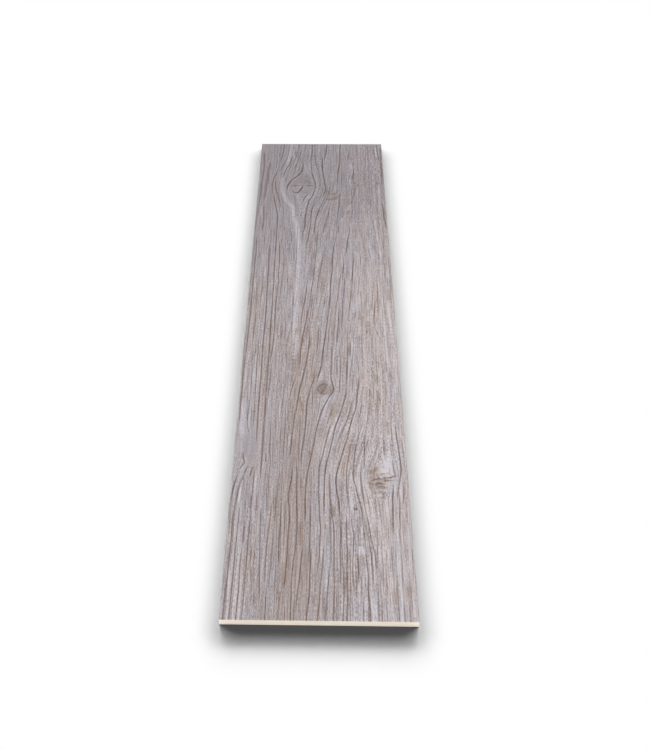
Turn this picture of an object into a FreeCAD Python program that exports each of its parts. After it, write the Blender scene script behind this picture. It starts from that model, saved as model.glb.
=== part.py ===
import FreeCAD
import Part
import Sketcher
import math
import os

# Wood-look porcelain plank tile, in millimetres.
# The tile is one pressed, fired and edge-ground slab: a flat printed face with a fine bevel all round,
# square ground edges, and a back pressed into a lattice of low ribs that keys into the adhesive bed.
# X is the width, Y the length and Z up. The origin is the middle of the back, on the plane of the ribs.

# Driving dimensions: alias, value and what it measures.
DIMENSIONS = [
    ("tile_width", 200.0, "ground width of the plank"),
    ("tile_length", 900.0, "ground length of the plank"),
    ("tile_thickness", 9.0, "from the rib tops on the back to the face"),
    ("face_bevel", 0.5, "width of the bevel round the face"),
    ("land_width", 10.0, "plain border round the keyed back"),
    ("rib_width", 4.0, "width of a rib where it meets the adhesive"),
    ("cell_pitch", 30.0, "target spacing of the cells, evened out to fill the back"),
    ("key_depth", 0.8, "depth of the cells between the ribs"),
    ("key_draft", 40.0, "slope of the cell walls from upright, in degrees"),
]

# Expressions that several features share, written from the driving dimensions.
FIELD_WIDTH = "(Dimensions.tile_width - 2 * Dimensions.land_width)"
FIELD_LENGTH = "(Dimensions.tile_length - 2 * Dimensions.land_width)"
COLUMNS = f"round(({FIELD_WIDTH} + Dimensions.rib_width) / Dimensions.cell_pitch)"
ROWS = f"round(({FIELD_LENGTH} + Dimensions.rib_width) / Dimensions.cell_pitch)"
COLUMN_PITCH = f"(({FIELD_WIDTH} + Dimensions.rib_width) / {COLUMNS})"
ROW_PITCH = f"(({FIELD_LENGTH} + Dimensions.rib_width) / {ROWS})"

VOLUME_TOLERANCE = 0.001


def dimension_sheet(doc):
    """The spreadsheet of driving dimensions, one row each: name, value and meaning."""
    sheet = doc.addObject("Spreadsheet::Sheet", "Dimensions")
    for row, (alias, value, meaning) in enumerate(DIMENSIONS, start=1):
        sheet.set(f"A{row}", alias)
        sheet.set(f"B{row}", str(value))
        sheet.set(f"C{row}", meaning)
        sheet.setAlias(f"B{row}", alias)
    doc.recompute()
    return sheet


def origin_feature(body, role):
    """One of the body's own origin planes or axes, found by its role."""
    return next(f for f in body.Origin.OriginFeatures if f.Role == role)


def rectangle_sketch(body, name, size, corner):
    """A rectangle on the plane of the back. size and corner are pairs of expressions: the width and length,
    and how far the low corner lies from the origin along -X and -Y."""
    sketch = body.newObject("Sketcher::SketchObject", name)
    sketch.AttachmentSupport = [(origin_feature(body, "XY_Plane"), "")]
    sketch.MapMode = "FlatFace"
    corners = [FreeCAD.Vector(x, y, 0) for x, y in ((-1, -1), (1, -1), (1, 1), (-1, 1))]
    for start, end in zip(corners, corners[1:] + corners[:1]):
        sketch.addGeometry(Part.LineSegment(start, end))
    for side in range(4):
        sketch.addConstraint(Sketcher.Constraint("Coincident", side, 2, (side + 1) % 4, 1))
        sketch.addConstraint(Sketcher.Constraint("Vertical" if side % 2 else "Horizontal", side))
    bound = [
        ("width", Sketcher.Constraint("DistanceX", 0, 1, 0, 2, 2.0), size[0]),
        ("length", Sketcher.Constraint("DistanceY", 1, 1, 1, 2, 2.0), size[1]),
        ("corner_x", Sketcher.Constraint("DistanceX", 0, 1, -1, 1, 1.0), corner[0]),
        ("corner_y", Sketcher.Constraint("DistanceY", 0, 1, -1, 1, 1.0), corner[1]),
    ]
    for label, constraint, expression in bound:
        index = sketch.addConstraint(constraint)
        sketch.renameConstraint(index, label)
        sketch.setExpression(f"Constraints.{label}", expression)
    return sketch


def slab(doc, body):
    """The pressed blank, ground square on all four edges."""
    outline = rectangle_sketch(
        body,
        "outline",
        size=("Dimensions.tile_width", "Dimensions.tile_length"),
        corner=("Dimensions.tile_width / 2", "Dimensions.tile_length / 2"),
    )
    pad = body.newObject("PartDesign::Pad", "slab")
    pad.Profile = outline
    pad.setExpression("Length", "Dimensions.tile_thickness")
    doc.recompute()
    return pad


def bevelled_face(doc, body, base):
    """The fine bevel that takes the sharp arris off the four edges of the face."""
    top = base.Shape.BoundBox.ZMax
    rim = [
        f"Edge{number}"
        for number, edge in enumerate(base.Shape.Edges, start=1)
        if all(math.isclose(v.Z, top) for v in edge.Vertexes)
    ]
    bevel = body.newObject("PartDesign::Chamfer", "face_bevel")
    bevel.Base = (base, rim)
    bevel.setExpression("Size", "Dimensions.face_bevel")
    doc.recompute()
    return bevel


def keyed_back(doc, body):
    """The keying lattice: one sloping-walled cell pressed into the back, repeated in rows and columns.
    What stays between the cells are the ribs, and the plain land round them."""
    cell_outline = rectangle_sketch(
        body,
        "cell_outline",
        size=(f"{COLUMN_PITCH} - Dimensions.rib_width", f"{ROW_PITCH} - Dimensions.rib_width"),
        corner=(f"{FIELD_WIDTH} / 2", f"{FIELD_LENGTH} / 2"),
    )
    cell = body.newObject("PartDesign::Pocket", "key_cell")
    cell.Profile = cell_outline
    cell.Reversed = True
    cell.setExpression("Length", "Dimensions.key_depth")
    cell.setExpression("TaperAngle", "-1 * Dimensions.key_draft")
    doc.recompute()

    lattice = body.newObject("PartDesign::LinearPattern", "key_lattice")
    lattice.Originals = [cell]
    lattice.Direction = (cell_outline, ["H_Axis"])
    lattice.Mode = "Spacing"
    lattice.setExpression("Offset", COLUMN_PITCH)
    lattice.setExpression("Occurrences", COLUMNS)
    lattice.Direction2 = (cell_outline, ["V_Axis"])
    lattice.Mode2 = "Spacing"
    # -1 marks rows that follow the even offset. A new second direction starts with a gap of 0 instead.
    lattice.Spacings2 = [-1]
    lattice.setExpression("Offset2", ROW_PITCH)
    lattice.setExpression("Occurrences2", ROWS)
    body.Tip = lattice
    doc.recompute()
    return lattice


def cell_volume(sheet, cell_outline):
    """What one cell takes out of the back, by the prismoidal rule."""
    width = cell_outline.getDatum("width").Value
    length = cell_outline.getDatum("length").Value
    inset = 2 * sheet.key_depth * math.tan(math.radians(sheet.key_draft))
    mouth = width * length
    middle = (width - inset / 2) * (length - inset / 2)
    floor = (width - inset) * (length - inset)
    return sheet.key_depth * (mouth + 4 * middle + floor) / 6


def check(doc, bevel, lattice, one_cell):
    """Stops the build if a feature failed, the solid isn't sound, or the lattice cut a wrong volume."""
    failed = [o.Name for o in doc.Objects if {"Invalid", "Error"} & set(o.State)]
    if failed:
        raise RuntimeError(f"these objects failed: {failed}")
    shape = lattice.Shape
    if shape.isNull() or not shape.isValid() or len(shape.Solids) != 1:
        raise RuntimeError("the tile is not one valid solid")
    cells = lattice.Occurrences * lattice.Occurrences2
    cut = bevel.Shape.Volume - shape.Volume
    print(f"{lattice.Occurrences} x {lattice.Occurrences2} cells")
    print(f"{cut:.1f} mm3 cut, {shape.Volume:.1f} mm3 left")
    if not math.isclose(cut, cells * one_cell, rel_tol=VOLUME_TOLERANCE):
        raise RuntimeError(f"the lattice cut {cut} mm3 where {cells * one_cell} was expected")


def plank_tile():
    """Builds the tile in its own document and writes it to parts/."""
    doc = FreeCAD.newDocument("plank_tile")
    sheet = dimension_sheet(doc)
    tile = doc.addObject("PartDesign::Body", "tile")
    tile.Label = "plank_tile"
    blank = slab(doc, tile)
    bevel = bevelled_face(doc, tile, blank)
    lattice = keyed_back(doc, tile)
    tile.Placement = FreeCAD.Placement()
    doc.recompute()
    check(doc, bevel, lattice, cell_volume(sheet, doc.getObject("cell_outline")))
    os.makedirs("parts", exist_ok=True)
    tile.Shape.exportStep(f"parts/{tile.Label}.step")


plank_tile()
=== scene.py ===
# %% [markdown]
# A wood-look porcelain plank tile. It is pressed from pale clay, printed with a photograph of weathered
# pine, glazed matte, fired, and ground square on its four edges. Two things make it look like wood: the
# print, and a shallow relief in the face that follows the print, so a dark line is also a groove. The
# CAD model gives the slab its size and its back. Here the face gets the grain, in colour and in depth.

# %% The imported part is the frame
import math
from collections import namedtuple

import bmesh
import bpy
from mathutils import Euler, Matrix, Vector


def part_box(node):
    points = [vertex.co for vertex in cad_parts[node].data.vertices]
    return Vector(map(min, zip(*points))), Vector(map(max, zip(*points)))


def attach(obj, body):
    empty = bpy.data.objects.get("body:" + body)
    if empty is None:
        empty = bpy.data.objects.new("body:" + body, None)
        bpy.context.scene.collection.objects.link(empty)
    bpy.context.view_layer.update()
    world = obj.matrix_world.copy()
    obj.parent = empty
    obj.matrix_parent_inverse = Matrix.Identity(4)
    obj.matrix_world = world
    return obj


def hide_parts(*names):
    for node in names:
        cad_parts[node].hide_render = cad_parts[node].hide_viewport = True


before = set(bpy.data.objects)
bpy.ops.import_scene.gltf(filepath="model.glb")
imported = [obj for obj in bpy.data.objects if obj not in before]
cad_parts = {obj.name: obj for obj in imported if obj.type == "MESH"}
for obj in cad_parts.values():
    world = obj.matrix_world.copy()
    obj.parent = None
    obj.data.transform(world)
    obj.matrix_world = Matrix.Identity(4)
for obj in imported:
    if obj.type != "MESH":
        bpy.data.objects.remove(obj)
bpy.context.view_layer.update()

MM = 0.001
low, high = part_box("plank_tile")
WIDTH, LENGTH, THICKNESS = ((high - low) / MM)[:]
print(f"the CAD tile is {WIDTH:.1f} x {LENGTH:.1f} x {THICKNESS:.1f} mm")

# %% [markdown]
# Node trees are easier to read as sums than as boxes and links. This small class wraps one output
# socket, and arithmetic on it adds Math nodes. Every other node comes from its node method: the
# settings are set first, because they decide which sockets a node shows, and then the sockets get
# numbers or links. Geometry trees and shader trees share it, since both have the same Math, Map Range
# and Noise nodes.

# %% A socket that does arithmetic
class Wire:
    """An output socket of a node tree, or just the tree when there is no socket yet."""

    def __init__(self, tree, socket=None):
        self.tree = tree
        self.socket = socket

    def node(self, kind, settings=(), inputs=(), output=0):
        """Adds a node and returns one of its outputs. Sockets are given by name or by number."""
        made = self.tree.nodes.new(kind)
        for name, value in dict(settings).items():
            if name == "stops":
                set_stops(made.color_ramp, value)
            else:
                setattr(made, name, value)
        for name, value in dict(inputs).items():
            socket = shown(made.inputs, name)
            for link in value if isinstance(value, list) else [value]:
                if isinstance(link, Wire):
                    self.tree.links.new(link.socket, socket)
                else:
                    socket.default_value = link
        return Wire(self.tree, shown(made.outputs, output)) if made.outputs else None

    def beside(self, output):
        """Another output of the same node."""
        return Wire(self.tree, shown(self.socket.node.outputs, output))

    def math(self, operation, *others):
        values = dict(enumerate((self, *others)))
        return self.node("ShaderNodeMath", {"operation": operation}, values)

    def __add__(self, other):
        return self.math("ADD", other)

    __radd__ = __add__

    def __sub__(self, other):
        return self.math("SUBTRACT", other)

    def __rsub__(self, other):
        return self.node("ShaderNodeMath", {"operation": "SUBTRACT"}, {0: other, 1: self})

    def __mul__(self, other):
        return self.math("MULTIPLY", other)

    __rmul__ = __mul__

    def __truediv__(self, other):
        return self.math("DIVIDE", other)

    def __neg__(self):
        return self * -1

    def rise(self, start, end):
        """0 up to start, 1 from end on, and a smooth rise between. It falls where end is below start."""
        settings = {"interpolation_type": "SMOOTHSTEP"}
        limits = {"From Min": start, "From Max": end}
        if end < start:
            limits = {"From Min": end, "From Max": start, "To Min": 1.0, "To Max": 0.0}
        return self.node("ShaderNodeMapRange", settings, {"Value": self, **limits})

    def bell(self, centre, reach):
        """1 at the centre, falling away like a bell on both sides."""
        offset = (self - centre) / reach
        return (-(offset * offset)).math("EXPONENT")

    def vector(self, y, z=0.0):
        return self.node("ShaderNodeCombineXYZ", inputs={"X": self, "Y": y, "Z": z})

    def split(self):
        x = self.node("ShaderNodeSeparateXYZ", inputs={"Vector": self}, output="X")
        return x, x.beside("Y"), x.beside("Z")

    def noise(self, along, width, length, seed, detail=2.0, roughness=0.5):
        """Fibres: noise of one width across the grain, drawn out to one length along it. About 0 to 1."""
        place = (self / width).vector(along / length, seed)
        inputs = {"Vector": place, "Scale": 1.0, "Detail": detail, "Roughness": roughness}
        return self.node("ShaderNodeTexNoise", {"noise_dimensions": "3D"}, inputs)


def set_stops(ramp, stops):
    """Gives a colour ramp its stops, each a place from 0 to 1 and a colour."""
    while len(ramp.elements) < len(stops):
        ramp.elements.new(1.0)
    for element, (place, colour) in zip(ramp.elements, stops):
        element.position = place
        element.color = colour


def shown(sockets, name):
    """A socket by its number, or by its name among those that the node's settings leave in use."""
    if isinstance(name, int):
        return sockets[name]
    return next(s for s in sockets if s.enabled and s.name == name)


# %% [markdown]
# Pine grain runs along the plank and parts round each knot, as water parts round a stone. Instead of
# bending every line by hand, one rule gives the grain at any point: the place across the plank, shifted
# by a lean where the whole grain drifts to one side, and by a push away from each knot. Fibres drawn
# straight in this bent measure then flow round the knots. All places are in millimetres from the middle
# of the tile.

# %% The bends of the grain
Lean = namedtuple("Lean", "x width y stretch shift")
Knot = namedtuple("Knot", "x y half_width half_length push spread stretch")

LEANS = [
    Lean(x=-2, width=35, y=255, stretch=45, shift=10),
    Lean(x=20, width=45, y=50, stretch=130, shift=22),
    Lean(x=18, width=42, y=-190, stretch=60, shift=30),
]
KNOT_SOFTNESS = 1.3
KNOTS = {
    "eye": Knot(x=-31, y=324, half_width=14, half_length=20, push=10, spread=40, stretch=45),
    "pin": Knot(x=4.5, y=-127, half_width=7, half_length=9, push=5, spread=25, stretch=24),
    "stained": Knot(x=70, y=-266, half_width=15, half_length=14, push=7, spread=30, stretch=36),
    "edge": Knot(x=-104, y=-225, half_width=24, half_length=28, push=11, spread=28, stretch=40),
}


def grain_shift(x, y):
    """How far the grain at (x, y) has been moved sideways, in millimetres."""
    total = 0.0
    for lean in LEANS:
        drift = ((lean.y - y) / lean.stretch).math("TANH")
        total = total + lean.shift / 2 * drift * x.bell(lean.x, lean.width)
    for knot in KNOTS.values():
        offset = x - knot.x
        softened = (offset * offset + (KNOT_SOFTNESS * knot.push) ** 2).math("SQRT")
        near = x.bell(knot.x, knot.spread) * y.bell(knot.y, knot.stretch)
        total = total - knot.push * offset / softened * near
    return total


print(len(LEANS), "leans and", len(KNOTS), "knots bend the grain")

# %% [markdown]
# The figure of the print is drawn stroke by stroke, because it differs from plank to plank. Each stroke
# has a half width in millimetres, a strength, a brownness, and a few points from the far end towards
# the near end. A smooth curve goes through the points. The strongest strokes are the late wood, where
# the tree grew slowly.

# %% Strokes
Stroke = namedtuple("Stroke", "half_width strength brown points")


def stroke(half_width, strength, brown, *points):
    return Stroke(half_width, strength, brown, points)


def dash(x, far, near, lean=0.0, strength=0.6, brown=0.4, half_width=0.65):
    """A short stroke along the grain, from one y to another."""
    return Stroke(half_width, strength, brown, [(x, far), (x + lean, near)])


# %% Late wood of the far end, left of the middle
LATE_WOOD = [
    stroke(0.9, 0.75, 0.15, (-15, 449), (-16, 418), (-17.3, 400), (-16.2, 380), (-15.3, 362)),
    stroke(0.9, 0.95, 0.15, (-16.6, 388), (-16, 376), (-15.2, 362), (-12.8, 348), (-10, 333), (-9, 322),
           (-11.5, 307), (-14.5, 294), (-18.5, 284), (-20.5, 274), (-23, 253), (-24.4, 231), (-24.4, 213),
           (-26.5, 198)),
    stroke(1.1, 1.0, 0.15, (-29, 388), (-31, 371), (-34, 361), (-38, 353), (-42, 347), (-47, 341),
           (-51, 331), (-53.7, 321), (-54.5, 308)),
    stroke(0.8, 0.7, 0.2, (-62, 449), (-62.6, 433), (-64, 418), (-65.5, 405), (-67.5, 392)),
    stroke(0.8, 0.6, 0.2, (-53.5, 449), (-54, 430), (-56, 407), (-59, 395), (-62, 384), (-65, 374),
           (-66, 362)),
    stroke(0.8, 0.8, 0.2, (-46, 418), (-49.3, 402), (-52, 386), (-56, 376), (-58.5, 366), (-60, 356),
           (-61.5, 344)),
    stroke(0.8, 0.7, 0.3, (-38, 449), (-38.6, 435), (-40, 421), (-42, 408), (-44.6, 398), (-46.5, 386)),
    stroke(0.8, 0.6, 0.6, (-34.5, 434), (-35, 416), (-37.6, 400), (-40, 388), (-43.5, 375), (-45, 364)),
    stroke(0.8, 0.5, 0.6, (-34, 386), (-36, 372), (-38.5, 360)),
    stroke(0.8, 0.5, 0.3, (-48, 386), (-51, 375), (-55, 362)),
    stroke(0.9, 0.7, 0.15, (-19.5, 307), (-22.5, 298), (-26, 290), (-28.5, 279), (-29.3, 270)),
    stroke(1.2, 0.6, 0.5, (-96, 432), (-94, 400), (-93, 372), (-93.4, 360), (-95, 335), (-94.7, 305),
           (-95, 283)),
    stroke(1.6, 0.5, 1.0, (-84, 396), (-84.3, 382), (-86.4, 368), (-86, 352), (-87, 330), (-87.7, 308),
           (-89, 280)),
    stroke(1.1, 0.7, 0.9, (-88.6, 275), (-88, 257), (-87, 236), (-87.5, 218), (-88, 200)),
    stroke(0.9, 0.7, 0.8, (-70.5, 374), (-72.5, 358), (-75.6, 348), (-77, 338), (-77.6, 324), (-76.5, 297)),
    stroke(0.9, 0.7, 0.9, (-72, 347), (-72.7, 329), (-72, 318), (-70.8, 309), (-68, 299), (-66, 287),
           (-61.5, 262)),
    stroke(0.8, 0.8, 0.2, (-9, 280), (-12, 269), (-14.3, 257), (-15, 245), (-15.5, 230), (-16.2, 215),
           (-17.5, 198), (-18.8, 185), (-20.6, 173), (-21, 155)),
    stroke(0.9, 0.9, 0.1, (-1.5, 266), (-4, 253), (-6.8, 240), (-8.3, 228), (-9.3, 214), (-10.3, 199),
           (-10.8, 190)),
    dash(-42.4, 432, 411, -0.9), dash(-57, 349, 334, -1), dash(-69.5, 424, 408), dash(-72, 406, 372, -1.5),
    dash(-30.5, 256, 234, half_width=0.9), dash(-83.4, 196, 160, -0.5), dash(-0.4, 238, 224),
    dash(-0.4, 192, 158), dash(-48.5, 242, 212), dash(-43.4, 206, 164), dash(-49.4, 184, 170),
    dash(-38.8, 156, 128), dash(-55, 216, 203), dash(-54.6, 160, 140), dash(-48.3, 165, 152),
    dash(-60.8, 222, 208), dash(-77, 240, 205, strength=0.3),
]
print(len(LATE_WOOD), "strokes at the far left")

# %% Late wood of the far end, right of the middle
FAR_RIGHT = [
    stroke(0.9, 0.9, 0.2, (2.4, 414), (1.9, 395), (1.8, 376), (2.5, 362), (3.7, 349), (5, 338), (6.2, 325),
           (6.8, 316), (5, 304), (3, 296), (1.5, 287)),
    stroke(0.9, 0.9, 0.1, (8.8, 449), (7.8, 433), (7.1, 420), (6, 408), (5, 398)),
    stroke(0.8, 0.7, 0.4, (13.8, 328), (13, 313), (11.5, 303), (10, 293), (8, 285), (5.5, 278), (2.8, 266),
           (1, 256)),
    stroke(0.9, 0.8, 0.2, (31.6, 449), (30.8, 424), (30.2, 408), (30, 394), (28.8, 380), (27, 362),
           (25.7, 326)),
    stroke(0.9, 0.8, 0.2, (30.5, 309), (29.4, 295), (28.5, 284), (27.5, 268), (26.3, 257), (24, 236)),
    stroke(0.8, 0.7, 0.1, (45.6, 432), (45, 415), (43.6, 404), (43.2, 394)),
    stroke(0.9, 0.9, 0.1, (53, 373), (51.8, 360), (50.3, 348), (49, 334)),
    stroke(0.8, 0.5, 0.2, (49, 330), (48.2, 318), (47.7, 304), (48.2, 293), (47.6, 280), (47.8, 262),
           (46.8, 246), (45.5, 232)),
    stroke(0.9, 0.45, 0.6, (38, 268), (44, 274), (48.6, 284), (51, 298), (53.4, 314), (58, 327), (64, 336)),
    stroke(2.2, 0.4, 0.8, (0, 294), (8, 288), (14, 286), (20, 287.5), (26, 293), (30, 305)),
    stroke(1.8, 0.35, 0.7, (8, 310), (14, 302), (20, 301), (24.5, 306), (26, 320)),
    stroke(0.8, 0.6, 0.3, (88, 443), (87, 420), (88, 402), (88, 384)),
    stroke(0.8, 0.7, 0.2, (92, 440), (93.2, 418), (94, 404), (93.8, 392)),
    stroke(1.3, 0.6, 1.0, (97.5, 442), (98, 420), (97, 395), (97.3, 366), (97.5, 340)),
    stroke(0.9, 0.8, 0.3, (13.5, 270), (12.2, 256), (11.3, 244), (9.8, 232)),
    stroke(0.8, 0.6, 0.2, (6, 228), (4.5, 210), (3.8, 193)),
    stroke(1.0, 0.7, 0.6, (95.2, 285), (95, 262), (95.8, 250), (95.4, 240), (97, 222), (98, 205)),
    stroke(0.8, 0.5, 0.8, (69.5, 168), (69.7, 156), (71, 140), (71, 128)),
    dash(27.2, 222, 193, -2.4, 0.8, 0.2, 0.6), dash(22.4, 236, 215, strength=0.6, brown=0.2),
    dash(88.2, 341, 322, 1, 0.6, 1.0, 0.7), dash(92.3, 352, 342, brown=1.0),
    dash(90, 379, 364, strength=0.4), dash(38.9, 331, 317, brown=0.9), dash(15.3, 386, 356, brown=0.3),
    dash(11.6, 358, 341, 0.8, brown=0.2), dash(32.5, 356, 321, brown=0.7), dash(40, 351, 334, strength=0.4),
    dash(33, 247, 235, half_width=0.9), dash(41.4, 261, 245, -0.8, half_width=0.9),
    dash(21.4, 188, 176, brown=0.9), dash(5.8, 170, 145), dash(91, 187, 155, -0.5, brown=0.7),
    dash(60, 196, 186, brown=0.8), dash(78.8, 252, 243, brown=0.9), dash(79, 245, 220, strength=0.4),
    dash(77, 290, 262, strength=0.4), dash(57.2, 152, 115, brown=0.6), dash(24.2, 153, 142),
    dash(63, 150, 125, strength=0.4), dash(19, 345, 310, strength=0.4),
]
LATE_WOOD += FAR_RIGHT
print(len(FAR_RIGHT), "strokes at the far right")

# %% Late wood of the middle, left
MIDDLE_LEFT = [
    stroke(0.8, 0.85, 1.0, (-74, 304), (-73, 288), (-71, 272), (-69, 260), (-67, 247), (-66, 234),
           (-66, 180), (-66.2, 140), (-66, 100), (-66, 40), (-66.2, -20), (-66.5, -90), (-66.5, -140)),
    stroke(0.8, 0.8, 1.0, (-95, 192), (-95, 166), (-94.3, 150), (-95, 130), (-94.5, 105), (-95, 82),
           (-94.5, 50), (-95, 13), (-95, -10), (-95.7, -35), (-96.4, -65), (-97, -95), (-97.2, -130),
           (-97, -190)),
    stroke(0.75, 0.9, 1.0, (-75, 174), (-75.5, 144), (-75, 125), (-74.2, 112), (-74.8, 90), (-74.6, 60),
           (-74, 30), (-74, 5), (-74.8, -25), (-75, -65), (-74.6, -100), (-74.8, -140), (-75, -170),
           (-74.8, -200), (-74.4, -218)),
    stroke(0.7, 0.85, 0.9, (-61, 182), (-60.5, 160), (-59.5, 125), (-60, 100), (-59.3, 82), (-60.3, 60),
           (-61, 40), (-61, 0), (-61.3, -20), (-61.8, -45), (-63, -65), (-64, -82)),
    stroke(0.65, 0.8, 0.2, (-3, 213), (-4.2, 203), (-5, 190), (-6, 170), (-6.3, 157), (-7.6, 143),
           (-8.4, 124), (-9.8, 103), (-11, 84), (-12.7, 68), (-14, 55)),
    stroke(0.6, 0.65, 1.0, (-88.5, 16), (-87.3, -3), (-88.5, -20), (-88.8, -48), (-89, -62)),
    stroke(0.6, 0.65, 0.9, (-81, -24), (-80.8, -50), (-81, -75), (-80.6, -110), (-80, -150), (-79.8, -196)),
    stroke(0.65, 0.6, 0.8, (-54.3, 92), (-55, 70), (-55.6, 48)),
    stroke(0.65, 0.6, 0.9, (-41.4, -16), (-42, -30), (-43.6, -45), (-44.6, -62)),
    stroke(0.8, 0.8, 0.6, (-19.4, 78), (-20.6, 55), (-22, 40), (-24, 25), (-25, 10), (-26.4, -7)),
    stroke(0.8, 0.9, 0.9, (-16, 31), (-18, 12), (-20, -5), (-22.3, -22), (-24.4, -42), (-25.7, -60),
           (-26.2, -80), (-27.3, -97)),
    stroke(0.65, 0.7, 0.6, (-10, 56), (-11.6, 38), (-13, 22), (-14.6, 4), (-15, -9)),
    stroke(0.8, 0.9, 0.8, (-14.6, -16), (-13.8, -30), (-15, -52), (-17.6, -76), (-20, -97), (-22.8, -113),
           (-25.4, -128), (-27, -143), (-28.4, -158), (-29.2, -174)),
    stroke(0.8, 0.8, 0.4, (-0.8, -6), (-2, -18), (-2.6, -34), (-3.8, -52), (-5.5, -66)),
    stroke(0.65, 0.6, 0.6, (-8, -56), (-9.3, -72), (-10.8, -88), (-12, -100)),
    stroke(0.65, 0.6, 0.3, (-3, 106), (-3.4, 88), (-4.6, 70), (-5.2, 58)),
    stroke(0.65, 0.5, 0.4, (-1.5, 36), (-3.4, 16), (-5, -2)), dash(-89, 154, 132),
    dash(-89, 86, 46, strength=0.6), dash(-81.2, 106, 42, -0.5, 0.5, 0.2), dash(-82.4, 20, 0, brown=1.0),
    dash(-83.4, -5, -14), dash(-84, -50, -68), dash(-55.8, 13, -1, strength=0.6), dash(-50.5, 75, 61),
    dash(-47, 96, 74), dash(-57, 32, 17, brown=0.0), dash(-43, 17, 2, strength=0.6),
    dash(-38.4, 1, -8, strength=0.6), dash(-38, 62, 22, 0.8), dash(-51, -18, -38, -1),
    dash(-55.6, -25, -38), dash(-21.5, -31, -54, strength=0.7, brown=0.9), dash(-27.4, 50, 34, 1.2),
    dash(-12, -30, -56), dash(-22, 138, 125),
]
LATE_WOOD += MIDDLE_LEFT
print(len(MIDDLE_LEFT), "strokes in the middle, left")

# %% Late wood of the middle, right
MIDDLE_RIGHT = [
    stroke(0.8, 0.95, 0.35, (20, 180), (18.8, 165), (18, 152), (16.8, 138), (16.2, 122), (15.7, 105),
           (14.4, 88), (13.3, 70), (13.4, 58), (12.2, 42), (11.6, 27), (9.8, 8), (7.5, -14), (6, -35),
           (3.6, -58), (2, -76), (0.5, -90), (-1.5, -101), (-5, -117)),
    stroke(0.65, 0.7, 0.3, (29, 110), (27, 90), (25.6, 70), (24, 55), (22.2, 40), (21, 26)),
    stroke(0.8, 0.8, 0.3, (25, 21), (24.3, 0), (22.8, -18), (22, -35), (21.1, -51)),
    stroke(0.8, 0.8, 0.4, (34.3, 98), (33, 76), (32, 58), (30.3, 45), (30, 30), (29.4, 12), (28.4, -3),
           (27.3, -19)),
    stroke(0.65, 0.7, 0.3, (34.4, 150), (33, 138), (32.6, 122), (31.3, 108), (31, 95)),
    stroke(0.8, 0.8, 0.2, (43.6, 218), (42.6, 204), (41, 190), (39, 178), (38, 165), (36.6, 150),
           (34.6, 142)),
    stroke(0.8, 0.9, 0.2, (48.2, 144), (46.8, 128), (45.4, 113), (45, 101), (44, 90), (44.6, 79)),
    stroke(0.65, 0.8, 0.5, (74, 52), (73.7, 30), (72.4, 13), (71.7, -3), (72.4, -19)),
    stroke(0.65, 0.5, 0.4, (79.6, 80), (79, 60), (78.3, 45), (78.8, 29)),
    stroke(0.8, 0.8, 0.6, (39.6, -37), (38.9, -52), (38.4, -66), (38, -80)),
    stroke(0.8, 0.9, 0.4, (36.6, -40), (35.6, -60), (34.8, -78), (34, -95), (33.4, -110), (33, -124)),
    stroke(0.65, 0.7, 0.7, (22.5, -64), (21.3, -90), (21, -113)),
    stroke(0.65, 0.7, 0.7, (26.5, -64), (26, -88), (25, -108), (24.3, -125), (25, -138)),
    stroke(0.8, 0.7, 0.8, (41.3, -101), (40.7, -118), (40.3, -139)),
    dash(54.6, 98, 74, -1, brown=0.9), dash(52, 72, 48, -1.4), dash(55, 66, 47),
    dash(76, 13, -6, -1, brown=0.6), dash(74.4, -17, -29, 1.4, 0.95, 0.4, 0.7),
    dash(48, 23, 6, -1, 0.8, 0.8), dash(40.6, 43, 23, -1.4, 0.8, 0.6), dash(40.3, -11, -29, -1.7, 0.7, 0.9),
    dash(24.6, -49, -72), dash(51, -27, -39, 1), dash(44, -37, -43, 0.6),
    dash(15, -19, -29, -0.6, 0.7, 0.7), dash(61.6, -15, -25), dash(87.6, 25, 14), dash(49, -85, -97, -0.5),
    dash(59.8, -88, -100), dash(65, -86, -96), dash(66.6, -72, -86, 1), dash(73, -138, -156, 1, brown=0.9),
    dash(19, 34, 24, 2.4, 0.5), dash(64.8, 90, 76), dash(83.6, 150, 132), dash(93, 100, 72, strength=0.4),
]
LATE_WOOD += MIDDLE_RIGHT
print(len(MIDDLE_RIGHT), "strokes in the middle, right")

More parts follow.
